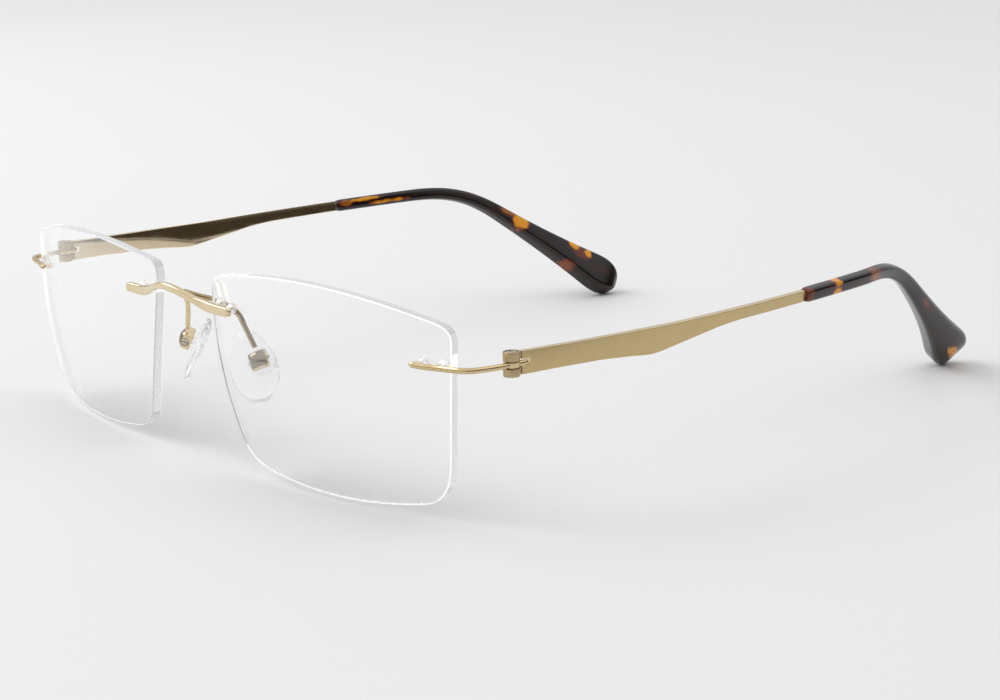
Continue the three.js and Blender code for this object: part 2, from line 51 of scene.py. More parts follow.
HINGE_X = 68.0
HINGE_Z = 25.33
CLEAR = 0.1

LENS_CENTRE = Vector((37.5, -15.0, 15.5))
LENS_WRAP = 8.7
LENS_TILT = 5.1
LENS_RADIUS = 106.0
LENS_THICKNESS = 1.6
LENS_BEVEL = 0.16
LENS_EDGES = (  # from, to, bulge of a bowed edge or None for a rounded corner
    ((-22.9, -9.8), (-16.5, -14.35), None),
    ((-16.5, -14.35), (18.5, -14.25), 1.35),
    ((18.5, -14.25), (24.9, -6.8), None),
    ((24.9, -6.8), (26.5, 13.2), 0.35),
    ((26.5, 13.2), (23.6, 16.3), None),
    ((23.6, 16.3), (-26.6, 17.75), 3.1),
    ((-26.6, 17.75), (-28.7, 13.9), None),
    ((-28.7, 13.9), (-22.9, -9.8), 0.9),
)
BRIDGE_HOLES = ((-26.9, 12.75), (-23.3, 12.6))
TEMPLE_HOLES = ((20.7, 9.7), (24.2, 9.5))
LENS_HOLE_RADIUS = 0.75
LENS_DRILL = (-14.0, 3.0)  # from behind the lens to ahead of it
LENS_FACE_LIMIT = 0.85  # how squarely a face looks ahead or sideways to count as that side

PIN_RADIUS = 0.38
PIN_LENGTH = 2.3
SLEEVE_WALL = 0.22
SLEEVE_FLANGE_RADIUS = 0.9
SLEEVE_FLANGE = 0.4

BAR_HALF_LENGTH = 16.1
BAR_Y = -17.25
BAR_Z = 28.4
BAR_BOW = 2.1
BAR_RISE = 2.6
BAR_ARCH_HALF = 11.8
BAR_PAD_X = 9.6
BAR_HEIGHT = 1.25
BAR_PAD_HEIGHT = 1.75
BAR_DEPTH = 1.15
BAR_TAPER = 0.10
BAR_END_ROUND = 0.8

ENDPIECE_HEIGHT = 0.95
ENDPIECE_DEPTH = 1.0
ENDPIECE_TAIL = 2.95
ENDPIECE_END_ROUND = 0.035  # as a share of its length

KNUCKLE_RADIUS = 1.35
HINGE_TOP = 2.05
HINGE_BOTTOM = -1.9
EYE_RADIUS = 1.3
HINGE_SCREW_RADIUS = 0.6
HINGE_HEAD_RADIUS = 0.9
HINGE_HEAD_DEPTH = 0.55

PLATE_START = 1.75
PLATE_END = 66.2
PLATE_THICKNESS = 0.9
TIP_START = 66.7
TEMPLE_END = 140.9
BEND_START = 85.5
BEND_LENGTH = 23.5
BEND_DROP = 34.5
PLATE_TOP = ((0, 1.95), (16, 1.45), (34, 1.03), (PLATE_END, 1.03))
PLATE_BOTTOM = (
    (0, -1.9), (10, -2.1), (18, -2.4), (24, -2.95), (28.5, -3.5), (30.5, -3.5),
    (45, -1.45), (50, -1.15), (PLATE_END, -1.05),
)
PLATE_TWIST = -12.0
PLATE_TWIST_END = 45.0
TIP_TWIST = -26.5
PLATE_CROWN = 0.12
PLATE_FACE_LIMIT = 0.94  # how squarely a face looks out or in to count as that side
YAW_START = -3.6  # degrees, then two rates along the plate and one along the tip
YAW_RATE = 0.06
YAW_GROWTH = 0.0011
TIP_YAW_RATE = 0.163
TIP_CURL = 8.0
TIP_CURL_SPAN = (82.0, 90.0)
PITCH_START = -0.3
CORE_HEIGHT = 1.25
CORE_THICKNESS = 0.75
CORE_END = 126.0
TIP_HEIGHT = (2.5, 8.1, 3.1)  # at the bend, gained by the end, and the power of that gain
TIP_THICKNESS = (2.3, 2.2)  # at the bend, and gained by the end
TIP_START_ROUND = 1.2
TIP_END_ROUND = 8.0

PAD_BOX_CENTRE = Vector((11.85, -8.4, 18.25))
PAD_SPLAY = 38.0
PAD_LEAN = -24.0
PAD_ROLL = 22.0
PAD_ARM_RADIUS = 0.45
PAD_BOX_WIDTH = 3.0
PAD_BOX_HEIGHT = 3.0
PAD_BOX_DEPTH = 2.4
PAD_BOX_SLOT = 1.3
PAD_BOX_SLOT_HALF_HEIGHT = 1.0
PAD_SCREW_RADIUS = 0.38
PAD_SCREW_HEAD_RADIUS = 0.72
PAD_ARM_START = 3.6
PAD_LENGTH = 13.2
PAD_WIDTH = 8.2
PAD_THICKNESS = 2.1
PAD_BACK = -1.6
PAD_OFFSET = (-1.8, 0.0)
INSERT_RADIUS = 2.3
INSERT_THICKNESS = 0.7

CUT_RIM = 0.02  # the rim rounding of a rod that only cuts

joints = {joint["name"]: joint for joint in frame["joints"]}
hinge_place = joints["left_temple_hinge"]["pos_m"]
MM = 0.001
ORIGIN = Vector((0.0, hinge_place[1], hinge_place[2] - HINGE_Z * MM))
TO_ROW = Matrix.Translation(ORIGIN) @ Matrix.Scale(MM, 4)
MIRROR = Matrix.Scale(-1.0, 4, (1.0, 0.0, 0.0))

# ------------------------------------------------------------------ small helpers


def mix(a, b, t):
    return a + (b - a) * t


def smooth(low, high, value):
    t = min(max((value - low) / (high - low), 0.0), 1.0)
    return t * t * (3.0 - 2.0 * t)


def between(knots, at):
    """Straight lines between (place, value) knots."""
    for (p0, v0), (p1, v1) in zip(knots, knots[1:]):
        if at <= p1:
            return mix(v0, v1, max(0.0, (at - p0) / (p1 - p0)))
    return knots[-1][1]


def eased(knots, at, reach):
    """The same lines with their corners rounded over a short reach."""
    steps = 6
    places = [at + reach * (2.0 * i / steps - 1.0) for i in range(steps + 1)]
    return sum(between(knots, place) for place in places) / len(places)


def spline(points, t):
    """A point of a smooth curve through the points, t from 0 to 1 by straight-line length."""
    lengths = [0.0]
    for a, b in zip(points, points[1:]):
        lengths.append(lengths[-1] + (b - a).length)
    place = t * lengths[-1]
    i = max(k for k in range(len(points) - 1) if lengths[k] <= place + 1e-9)
    span = lengths[i + 1] - lengths[i]
    u = (place - lengths[i]) / span
    p1, p2 = points[i], points[i + 1]
    before = points[i - 1] if i > 0 else p1 * 2 - p2
    after = points[i + 2] if i + 2 < len(points) else p2 * 2 - p1
    m1 = (p2 - before) / ((p2 - p1).length + (p1 - before).length) * span
    m2 = (after - p1) / ((after - p2).length + (p2 - p1).length) * span
    h00 = 2 * u**3 - 3 * u**2 + 1
    h10 = u**3 - 2 * u**2 + u
    h01 = -2 * u**3 + 3 * u**2
    h11 = u**3 - u**2
    return p1 * h00 + m1 * h10 + p2 * h01 + m2 * h11


def rounded_box(half_a, half_b, radius, corner=5):
    """A rectangle with round corners as (a, b) points, anticlockwise."""
    radius = min(radius, half_a * 0.999, half_b * 0.999)
    points = []
    for quarter in range(4):
        sign_a = (1, -1, -1, 1)[quarter]
        sign_b = (1, 1, -1, -1)[quarter]
        for i in range(corner + 1):
            angle = math.pi / 2 * (quarter + i / corner)
            a = sign_a * (half_a - radius) + radius * math.cos(angle)
            b = sign_b * (half_b - radius) + radius * math.sin(angle)
            points.append((a, b))
    return points


def new_mesh(vertices, faces, grain=None):
    """A closed mesh whose faces look outwards; grain is each point's (along, a, b) in mm."""
    data = bpy.data.meshes.new("piece")
    data.from_pydata([tuple(v) for v in vertices], [], faces)
    if grain is not None:
        layer = data.attributes.new("grain", "FLOAT_VECTOR", "POINT")
        layer.data.foreach_set("vector", [x for point in grain for x in point])
    work = bmesh.new()
    work.from_mesh(data)
    bmesh.ops.recalc_face_normals(work, faces=work.faces)
    work.to_mesh(data)
    work.free()
    return data


def skin(rings, grain=None):
    """A skin over rings of points, closed at both ends."""
    count = len(rings[0])
    faces = []
    for i in range(len(rings) - 1):
        for j in range(count):
            k = (j + 1) % count
            low, high = i * count, (i + 1) * count
            faces.append((low + j, low + k, high + k, high + j))
    last = (len(rings) - 1) * count
    faces.append(tuple(range(count)))
    faces.append(tuple(range(last, last + count)))
    flat = [point for ring in rings for point in ring]
    return new_mesh(flat, faces, grain)


def lathe(profile, segments=48, place=Matrix.Identity(4)):
    """A closed profile of (radius, height) points turned about local Z."""
    rings = []
    for i in range(segments):
        angle = 2 * math.pi * i / segments
        c, s = math.cos(angle), math.sin(angle)
        rings.append([place @ Vector((r * c, r * s, z)) for r, z in profile])
    count = len(profile)
    faces = []
    for i in range(segments):
        low, high = i * count, ((i + 1) % segments) * count
        for j in range(count):
            k = (j + 1) % count
            faces.append((low + j, high + j, high + k, low + k))
    work = bmesh.new()
    verts = [work.verts.new(point) for ring in rings for point in ring]
    for face in faces:
        work.faces.new([verts[i] for i in face])
    bmesh.ops.remove_doubles(work, verts=work.verts, dist=1e-5)
    bmesh.ops.recalc_face_normals(work, faces=work.faces)
    data = bpy.data.meshes.new("piece")
    work.to_mesh(data)
    work.free()
    return data


def rod(radius, low, high, bevel=0.06, segments=48, place=Matrix.Identity(4)):
    """A solid round rod along local Z with rounded rims."""
    bevel = min(bevel, (high - low) * 0.4, radius * 0.6)
    rim_angles = [math.pi / 2 * i / 4 for i in range(5)]
    profile = [(0.0, low)]
    for angle in rim_angles:
        out = radius - bevel + bevel * math.sin(angle)
        profile.append((out, low + bevel - bevel * math.cos(angle)))
    for angle in rim_angles:
        out = radius - bevel + bevel * math.cos(angle)
        profile.append((out, high - bevel + bevel * math.sin(angle)))
    profile.append((0.0, high))
    return lathe(profile, segments, place)


def block(low, high, place=Matrix.Identity(4)):
    """A plain box between two corners, used only to be joined to a piece or to cut it."""
    xs, ys, zs = zip(low, high)
    corners = [(x, y, z) for x in xs for y in ys for z in zs]
    faces = [(0, 1, 3, 2), (4, 6, 7, 5), (0, 4, 5, 1), (2, 3, 7, 6), (0, 2, 6, 4), (1, 5, 7, 3)]
    return new_mesh([place @ Vector(c) for c in corners], faces)


def evaluated(base, *modifiers):
    """The mesh that a base mesh becomes with modifiers given as (type, settings)."""
    item = bpy.data.objects.new("work", base)
    scene.collection.objects.link(item)
    for kind, settings in modifiers:
        modifier = item.modifiers.new(kind.title(), kind)
        for key, value in settings.items():
            setattr(modifier, key, value)
    bpy.context.view_layer.update()
    graph = bpy.context.evaluated_depsgraph_get()
    made = bpy.data.meshes.new_from_object(item.evaluated_get(graph))
    bpy.data.objects.remove(item)
    return made


def combined(base, *steps):
    """Solids joined to or cut from a base, given as ("UNION" or "DIFFERENCE", mesh)."""
    for operation, other in steps:
        tool = bpy.data.objects.new("tool", other)
        scene.collection.objects.link(tool)
        settings = {"operation": operation, "object": tool, "solver": "EXACT"}
        base = evaluated(base, ("BOOLEAN", settings))
        bpy.data.objects.remove(tool)
    return base


def softened(base, width, angle=35.0, segments=3):
    """The same solid with its sharp edges rounded."""
    settings = {
        "width": width,
        "segments": segments,
        "limit_method": "ANGLE",
        "angle_limit": math.radians(angle),
        "use_clamp_overlap": True,
    }
    return evaluated(base, ("BEVEL", settings))


# ------------------------------------------------------------------ materials


class Nodes:
    """A node tree, built in a few short calls."""

    def __init__(self, tree):
        self.tree = tree

    def add(self, kind, settings=None, **inputs):
        """A new node; an input is named with _ for a space, or numbered as in _0."""
        node = self.tree.nodes.new(kind)
        for key, value in (settings or {}).items():
            setattr(node, key, value)
        for key, value in inputs.items():
            number = key[1:]
            socket = node.inputs[int(number) if number.isdigit() else key.replace("_", " ")]
            if isinstance(value, bpy.types.NodeSocket):
                self.tree.links.new(value, socket)
            else:
                socket.default_value = value
        return node

    def attribute(self, name):
        return self.add("ShaderNodeAttribute", {"attribute_name": name}).outputs["Vector"]

    def stretched(self, vector, scale):
        return self.add("ShaderNodeMapping", Vector=vector, Scale=scale).outputs["Vector"]

    def noise(self, vector, scale, detail=3.0, roughness=0.55):
        settings = {"Scale": scale, "Detail": detail, "Roughness": roughness}
        return self.add("ShaderNodeTexNoise", Vector=vector, **settings).outputs["Fac"]

    def math(self, operation, a, b):
        return self.add("ShaderNodeMath", {"operation": operation}, _0=a, _1=b).outputs[0]

    def remap(self, value, low, high, to_low, to_high):
        """A smooth step from one range to another."""
        settings = {"interpolation_type": "SMOOTHSTEP"}
        ends = {"From_Min": low, "From_Max": high, "To_Min": to_low, "To_Max": to_high}
        return self.add("ShaderNodeMapRange", settings, Value=value, **ends).outputs["Result"]

    def blend(self, factor, a, b):
        """A mix of two colours."""
        node = self.add("ShaderNodeMix", {"data_type": "RGBA"}, _0=factor, _6=a, _7=b)
        return node.outputs[2]


class Finish(Nodes):
    """A material with one Principled shader."""

    def __init__(self, name):
        self.material = bpy.data.materials.new(name)
        self.material.use_nodes = True
        super().__init__(self.material.node_tree)
        self.shader = self.tree.nodes["Principled BSDF"]
        self.coordinates = self.add("ShaderNodeTexCoord").outputs["Object"]

    def link(self, output, name):
        self.tree.links.new(output, self.shader.inputs[name])

    def bump(self, height, distance, strength=1.0):
        node = self.add("ShaderNodeBump", Height=height, Distance=distance, Strength=strength)
        self.link(node.outputs["Normal"], "Normal")

    def set(self, **values):
        for key, value in values.items():
            self.shader.inputs[key.replace("_", " ")].default_value = value


def colour(red, green, blue):
    return (red, green, blue, 1.0)


def metal(name, base, dark, rough, grain_scale, scratch):
    """A plated metal: fine drawn grain along the piece, slight tone changes and tiny pits."""
    nodes = Finish(name)
    nodes.set(Metallic=1.0)
    drawn = nodes.noise(nodes.stretched(nodes.coordinates, grain_scale), 1.0, 4.0, 0.6)
    cloud = nodes.noise(nodes.coordinates, 260.0, 2.0)
    tone = nodes.math("ADD", nodes.math("MULTIPLY", drawn, 0.6), nodes.math("MULTIPLY", cloud, 0.4))
    nodes.link(nodes.blend(nodes.remap(tone, 0.3, 0.7, 0.0, 1.0), dark, base), "Base Color")
    nodes.link(nodes.remap(tone, 0.25, 0.75, rough[0], rough[1]), "Roughness")
    nodes.bump(drawn, scratch)
    return nodes.material


POLISHED = metal(
    "polished_gold", colour(0.79, 0.655, 0.44), colour(0.70, 0.57, 0.36), (0.08, 0.16),
    (2600.0, 2600.0, 2600.0), 0.000002,
)
SATIN = metal(
    "satin_gold", colour(0.62, 0.475, 0.25), colour(0.57, 0.435, 0.225), (0.30, 0.40),
    (9000.0, 500.0, 9000.0), 0.000003,
)
MIRROR_GOLD = metal(
    "mirror_gold", colour(0.74, 0.62, 0.44), colour(0.68, 0.55, 0.37), (0.06, 0.14),
    (3000.0, 500.0, 3000.0), 0.000001,
)
RICH_GOLD = metal(
    "rich_gold", colour(0.70, 0.55, 0.32), colour(0.62, 0.47, 0.26), (0.07, 0.14),
    (2600.0, 2600.0, 2600.0), 0.000002,
)
# Gold darkened to stand in for the dark surroundings it reflects: painted shade, worn by the
# knuckles and the left pad arm.
GOLD_PAINTED_SHADE = metal(
    "gold_painted_shade", colour(0.50, 0.385, 0.22), colour(0.40, 0.30, 0.165), (0.16, 0.26),
    (2600.0, 2600.0, 2600.0), 0.000002,
)
# Gold darkened nearly to brown-grey: a painted dark reflection, used on the pad boxes' domes.
GOLD_PAINTED_DARK_REFLECTION = metal(
    "gold_painted_dark_reflection", colour(0.34, 0.29, 0.22), colour(0.24, 0.20, 0.15), (0.06, 0.14),
    (2600.0, 2600.0, 2600.0), 0.000002,
)
STEEL = metal(
    "screw_steel", colour(0.70, 0.64, 0.55), colour(0.52, 0.47, 0.40), (0.18, 0.32),
    (4000.0, 4000.0, 4000.0), 0.000003,
)


PLASTIC_GLOW = 0.35  # of a plastic that is not glassy at all


def clear(name, tint, rough, ior, ripple, glassy):
    """A clear plastic with faint wipe marks and a very slight ripple.

    Where it is not fully glassy, a weak glow stands for light carried along inside it.
    """
    nodes = Finish(name)
    nodes.set(Base_Color=tint, IOR=ior, Transmission_Weight=glassy)
    nodes.set(Emission_Color=tint, Emission_Strength=PLASTIC_GLOW * (1.0 - glassy))
    wipe = nodes.noise(nodes.coordinates, 130.0, 4.0)
    nodes.link(nodes.remap(wipe, 0.45, 0.8, rough[0], rough[1]), "Roughness")
    nodes.bump(nodes.noise(nodes.coordinates, 300.0, 1.0), ripple)
    return nodes.material


LENS = clear("lens_clear", colour(0.995, 0.998, 1.0), (0.0, 0.03), 1.5, 0.0000005, 1.0)
SLEEVE = clear("sleeve_clear", colour(0.97, 0.96, 0.94), (0.05, 0.15), 1.40, 0.000002, 0.75)


def ground_edge(name, tint, glow):
    """A ground lens edge, partly frosted; its glow stands for light that runs inside the lens."""
    nodes = Finish(name)
    nodes.set(Base_Color=tint, IOR=1.5, Transmission_Weight=0.7)
    nodes.set(Emission_Color=colour(1.0, 1.0, 1.0), Emission_Strength=glow)
    wheel = nodes.noise(nodes.stretched(nodes.coordinates, (900.0, 900.0, 260.0)), 1.0, 3.0)
    nodes.link(nodes.remap(wheel, 0.35, 0.7, 0.12, 0.32), "Roughness")
    nodes.bump(wheel, 0.0000015)
    return nodes.material


# Three copies of the edge that differ only in painted light: the plain one, a brighter glowing one
# as a painted highlight, and a grey one that glows less as painted shade.
LENS_EDGE = ground_edge("lens_edge", colour(0.985, 0.99, 1.0), 0.34)
LENS_EDGE_PAINTED_BRIGHT = ground_edge("lens_edge_painted_bright", colour(0.985, 0.99, 1.0), 0.50)
LENS_EDGE_PAINTED_SHADE = ground_edge("lens_edge_painted_shade", colour(0.55, 0.56, 0.58), 0.14)
PAD = clear("pad_clear", colour(0.975, 0.975, 0.99), (0.04, 0.12), 1.30, 0.000002, 0.86)

DARK_ACETATE = colour(0.010, 0.006, 0.005)
BROWN_ACETATE = colour(0.045, 0.010, 0.006)
RED_ACETATE = colour(0.19, 0.035, 0.012)
AMBER_ACETATE = colour(0.86, 0.35, 0.012)

# Mottles of each tip: (place along the temple, place across, length, width, strength to amber)
LEFT_MOTTLES = (
    (67.2, 0.0, 0.9, 4.0, 0.30),
    (75.2, -0.7, 1.3, 1.0, 0.75),
    (75.4, 1.0, 1.1, 0.5, 0.80),
    (75.3, 0.1, 1.2, 1.5, 0.40),
    (87.3, 0.2, 1.9, 1.3, 0.42),
    (113.5, 0.4, 1.8, 0.5, 0.34),
    (136.6, -0.2, 2.5, 1.0, 1.0),
)
RIGHT_MOTTLES = (
    (73.5, 0.6, 3.6, 0.4, 0.80),
    (68.5, 0.3, 1.6, 0.8, 0.50),
    (79.5, -0.5, 4.4, 0.4, 0.72),
    (112.8, 0.3, 1.9, 1.6, 1.0),
    (109.2, 0.8, 2.0, 0.8, 0.50),
    (127.2, 2.3, 1.3, 1.1, 1.0),
    (131.2, 1.9, 1.0, 0.9, 0.90),
    (129.2, 1.2, 2.6, 1.4, 0.33),
    (127.5, -3.2, 1.8, 0.9, 0.40),
)


def acetate(name, mottles, shift):
    """Dark mottled acetate: soft amber and red clouds in near-black brown, under a polish."""
    nodes = Finish(name)
    nodes.set(Roughness=0.12, IOR=1.42, Coat_Weight=0.2, Coat_Roughness=0.05)
    grain = nodes.attribute("grain")
    ragged = nodes.noise(nodes.stretched(grain, (0.55, 0.9, 0.9)), 0.9, 4.0, 0.55)
    split = nodes.add("ShaderNodeSeparateXYZ", Vector=grain)
    along, across = split.outputs[0], split.outputs[1]
    amber = None
    for place, side, length, width, strength in mottles:
        u = nodes.math("DIVIDE", nodes.math("SUBTRACT", along, place), length)
        v = nodes.math("DIVIDE", nodes.math("SUBTRACT", across, side), width)
        square = nodes.math("ADD", nodes.math("MULTIPLY", u, u), nodes.math("MULTIPLY", v, v))
        wobble = nodes.math("MULTIPLY", nodes.math("SUBTRACT", ragged, 0.5), 3.0)
        reach = nodes.math("ADD", square, wobble)
        spot = nodes.remap(reach, 0.1, 2.1, strength, 0.0)
        amber = spot if amber is None else nodes.math("MAXIMUM", amber, spot)
    clouds = nodes.noise(nodes.stretched(grain, (0.16, 0.5, 0.5)), 1.0 + shift, 4.0, 0.6)
    ground = nodes.blend(nodes.remap(clouds, 0.50, 0.68, 0.0, 0.8), DARK_ACETATE, BROWN_ACETATE)
    red = nodes.blend(nodes.remap(amber, 0.02, 0.42, 0.0, 1.0), ground, RED_ACETATE)
    full = nodes.blend(nodes.remap(amber, 0.30, 0.90, 0.0, 1.0), red, AMBER_ACETATE)
    nodes.link(full, "Base Color")
    polish = nodes.noise(nodes.coordinates, 420.0, 3.0)
    nodes.link(nodes.remap(polish, 0.4, 0.75, 0.10, 0.19), "Roughness")
    nodes.bump(nodes.noise(nodes.coordinates, 700.0, 2.0), 0.000003)
    return nodes.material


LEFT_ACETATE = acetate("tortoiseshell_left", LEFT_MOTTLES, 0.0)
RIGHT_ACETATE = acetate("tortoiseshell_right", RIGHT_MOTTLES, 0.35)

# ------------------------------------------------------------------ placing pieces


def place_piece(name, data, body, materials, sharp=40.0):
    """One finished piece in the row frame, standing for the CAD node of the same name."""
    data.transform(TO_ROW)
    data.name = name
    data.shade_smooth()
    data.set_sharp_from_angle(angle=math.radians(sharp))
    for material in materials:
        data.materials.append(material)
    item = bpy.data.objects.new(name + "_look", data)
    scene.collection.objects.link(item)
    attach(item, body)
    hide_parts(name)
    return item


def place_pair(part, data, body, materials, other=None, sharp=40.0):
    """The left piece and its reflection, which can have its own materials."""
    reflection = data.copy()
    reflection.transform(MIRROR)
    reflection.flip_normals()
    halves = (("left", data, materials), ("right", reflection, other or materials))
    for side, half, finish in halves:
        rides = body if body == "front" else f"{side}_{body}"
        place_piece(f"{side}_{part}", half, rides, finish, sharp)


# ------------------------------------------------------------------ lens

across = Vector((math.cos(math.radians(LENS_WRAP)), math.sin(math.radians(LENS_WRAP)), 0.0))
upward = Matrix.Rotation(math.radians(LENS_TILT), 3, across) @ Vector((0.0, 0.0, 1.0))
ahead = across.cross(upward)
LENS_FRAME = Matrix.Translation(LENS_CENTRE) @ Matrix((across, upward, ahead)).transposed().to_4x4()


def sag(u, v, radius=LENS_RADIUS):
    return math.sqrt(radius**2 - u * u - v * v) - LENS_RADIUS


def on_lens(u, v, proud):
    return LENS_FRAME @ Vector((u, v, sag(u, v) + proud))


def at_hole(hole):
    """Local Z runs along a hole, with height 0 at the lens's front centre."""
    return LENS_FRAME @ Matrix.Translation((hole[0], hole[1], 0.0))


def lens_outline(segments=14):
    """The eight edges as one closed line of points, every edge a quadratic curve."""
    count = len(LENS_EDGES)
    controls = []
    for start, end, bulge in LENS_EDGES:
        a, b = Vector(start), Vector(end)
        along = (b - a).normalized()
        outward = Vector((along.y, -along.x))
        controls.append((a + b) / 2 + outward * 2 * (bulge or 0.0))
    for i, (start, end, bulge) in enumerate(LENS_EDGES):
        if bulge is None:
            p, q = Vector(start), Vector(end)
            d = p - controls[i - 1]
            e = controls[(i + 1) % count] - q
            gap = q - p
            controls[i] = p + d * ((gap.x * e.y - gap.y * e.x) / (d.x * e.y - d.y * e.x))
    points = []
    for (start, end, _), control in zip(LENS_EDGES, controls):
        a, b = Vector(start), Vector(end)
        for i in range(segments):
            t = i / segments
            points.append(a * (1 - t) ** 2 + control * 2 * t * (1 - t) + b * t * t)
    return points


def lens_mesh():
    """A meniscus lens with chamfered rims; its faces are numbered as in the lens finishes."""
    outline = lens_outline()
    back_radius = LENS_RADIUS - LENS_THICKNESS
    inset = []
    for i, point in enumerate(outline):
        along = (outline[(i + 1) % len(outline)] - outline[i - 1]).normalized()
        inset.append(point - Vector((along.y, -along.x)) * LENS_BEVEL)
    steps = 12
    shares = [i / steps for i in range(1, steps)]
    rings = []
    for share in shares:
        rings.append([(p * share, sag(*(p * share))) for p in inset])
    rings.append([(p, sag(*p)) for p in inset])
    rings.append([(p, sag(*p) - LENS_BEVEL) for p in outline])
    rings.append([(p, sag(*p, back_radius) + LENS_BEVEL) for p in outline])
    rings.append([(p, sag(*p, back_radius)) for p in inset])
    for share in reversed(shares):
        rings.append([(p * share, sag(*(p * share), back_radius)) for p in inset])
    solid_rings = [[LENS_FRAME @ Vector((p.x, p.y, z)) for p, z in ring] for ring in rings]
    lens = skin(solid_rings)
    for hole in BRIDGE_HOLES + TEMPLE_HOLES:
        drill = rod(LENS_HOLE_RADIUS, *LENS_DRILL, CUT_RIM, 40, at_hole(hole))
        lens = combined(lens, ("DIFFERENCE", drill))
    for face in lens.polygons:
        facing = face.normal.dot(across)
        if abs(face.normal.dot(ahead)) > LENS_FACE_LIMIT:
            face.material_index = 0
        elif facing < -LENS_FACE_LIMIT:
            face.material_index = 2
        else:
            face.material_index = 3 if facing > LENS_FACE_LIMIT else 1
    return lens


# Finishes of the two polished faces, the top and bottom edges, the nose side and the far side. The
# left lens's nose side is painted shade, a grey edge that glows less; the far sides and the right
# lens's nose side are a painted highlight, an edge that glows more.
LEFT_LENS_FINISH = [LENS, LENS_EDGE, LENS_EDGE_PAINTED_SHADE, LENS_EDGE_PAINTED_BRIGHT]
RIGHT_LENS_FINISH = [LENS, LENS_EDGE, LENS_EDGE_PAINTED_BRIGHT, LENS_EDGE_PAINTED_BRIGHT]
place_pair("lens", lens_mesh(), "front", LEFT_LENS_FINISH, RIGHT_LENS_FINISH, sharp=20.0)

# ------------------------------------------------------------------ pins and sleeves


def pin_mesh(hole):
    front = sag(*hole) + 0.05
    return rod(PIN_RADIUS, front - PIN_LENGTH, front, 0.12, 32, at_hole(hole))


def sleeve_mesh(hole):
    """A clear tube round a pin, with a round-edged flange behind the lens."""
    inner = PIN_RADIUS + 0.05
    outer = inner + SLEEVE_WALL
    front = sag(*hole) - 0.05
    reach = math.hypot(*hole) + SLEEVE_FLANGE_RADIUS
    back = sag(reach, 0.0) - LENS_THICKNESS - 2 * CLEAR
    rim = SLEEVE_FLANGE_RADIUS
    flat = rim * 0.8
    profile = [(inner, back - SLEEVE_FLANGE), (flat, back - SLEEVE_FLANGE)]
    for i in range(1, 5):
        angle = math.pi / 2 * i / 4
        height = 0.3 + 0.7 * math.cos(angle)
        profile.append((mix(flat, rim, math.sin(angle)), back - SLEEVE_FLANGE * height))
    profile += [(rim, back), (outer, back), (outer, front), (inner, front)]
    return lathe(profile, 40, at_hole(hole))


for group, holes in (("bridge", BRIDGE_HOLES), ("endpiece", TEMPLE_HOLES)):
    for number, hole in enumerate(holes, 1):
        pin, sleeve = pin_mesh(hole), sleeve_mesh(hole)
        place_pair(f"{group}_pin_{number}", pin, "front", [POLISHED])
        place_pair(f"{group}_sleeve_{number}", sleeve, "front", [SLEEVE])

# ------------------------------------------------------------------ bridge bar


def bar_point(x):
    reach = min(abs(x), BAR_ARCH_HALF)
    bell = 0.5 + 0.5 * math.cos(math.pi * reach / BAR_ARCH_HALF)
    return Vector((x, BAR_Y - BAR_BOW * bell, BAR_Z + BAR_RISE * bell))


def bar_height(x):
    reach = abs(x)
    pad = smooth(BAR_PAD_X - 3.0, BAR_PAD_X, reach)
    taper = 1.0 - BAR_TAPER * smooth(BAR_PAD_X, BAR_HALF_LENGTH, reach)
    return mix(BAR_HEIGHT, BAR_PAD_HEIGHT, pad) * taper


def bar_mesh():
    steps = 150
    rings = []
    for i in range(steps + 1):
        x = (2.0 * i / steps - 1.0) * BAR_HALF_LENGTH
        centre = bar_point(x)
        past = max(0.0, abs(x) - (BAR_HALF_LENGTH - BAR_END_ROUND)) / BAR_END_ROUND
        size = math.sqrt(1.0 - 0.9 * past * past)
        half_y = BAR_DEPTH / 2 * size
        half_z = bar_height(x) / 2 * size
        section = rounded_box(half_y, half_z, 0.30 * size, 7)
        rings.append([centre + Vector((0.0, a, b)) for a, b in section])
    return skin(rings)


place_piece("bridge_bar", bar_mesh(), "front", [POLISHED], sharp=60.0)

# ------------------------------------------------------------------ endpiece


def endpiece_mesh():
    """A bar across the lens's corner that turns back to the hinge, with a bored eye."""
    proud = ENDPIECE_DEPTH / 2 + CLEAR
    path = [on_lens(u, v, proud) for u, v in ((19.5, 9.8), (22.0, 9.6), (24.8, 9.5))]
    path += [
        Vector((HINGE_X - 1.5, -7.7, HINGE_Z)),
        Vector((HINGE_X - 0.2, -4.5, HINGE_Z)),
        Vector((HINGE_X + 0.4, -0.8, HINGE_Z)),
        Vector((HINGE_X + 0.55, ENDPIECE_TAIL, HINGE_Z)),
    ]
    end_round = ENDPIECE_END_ROUND
    steps = 120
    rings = []
    for i in range(steps + 1):
        t = i / steps
        centre = spline(path, t)
        along = spline(path, min(1.0, t + 0.004)) - spline(path, max(0.0, t - 0.004))
        outward = Vector((along.y, -along.x, 0.0)).normalized()
        past = max(0.0, end_round - t, t - (1.0 - end_round)) / end_round
        size = math.sqrt(1.0 - 0.88 * past * past)
        half_height = ENDPIECE_HEIGHT / 2 * size
        section = rounded_box(half_height, ENDPIECE_DEPTH / 2 * size, 0.45 * size, 8)
        rings.append([centre + outward * b + Vector((0.0, 0.0, a)) for a, b in section])
    half = ENDPIECE_HEIGHT / 2
    at_hinge = Matrix.Translation((HINGE_X, 0.0, HINGE_Z))
    eye = rod(EYE_RADIUS, -half * 0.98, half * 0.98, 0.12, 56, at_hinge)
    bore = rod(HINGE_SCREW_RADIUS + 0.15, -2.0, 2.0, CUT_RIM, 40, at_hinge)
    return combined(skin(rings), ("UNION", eye), ("DIFFERENCE", bore))


place_pair("endpiece", endpiece_mesh(), "front", [RICH_GOLD])

# ------------------------------------------------------------------ temple


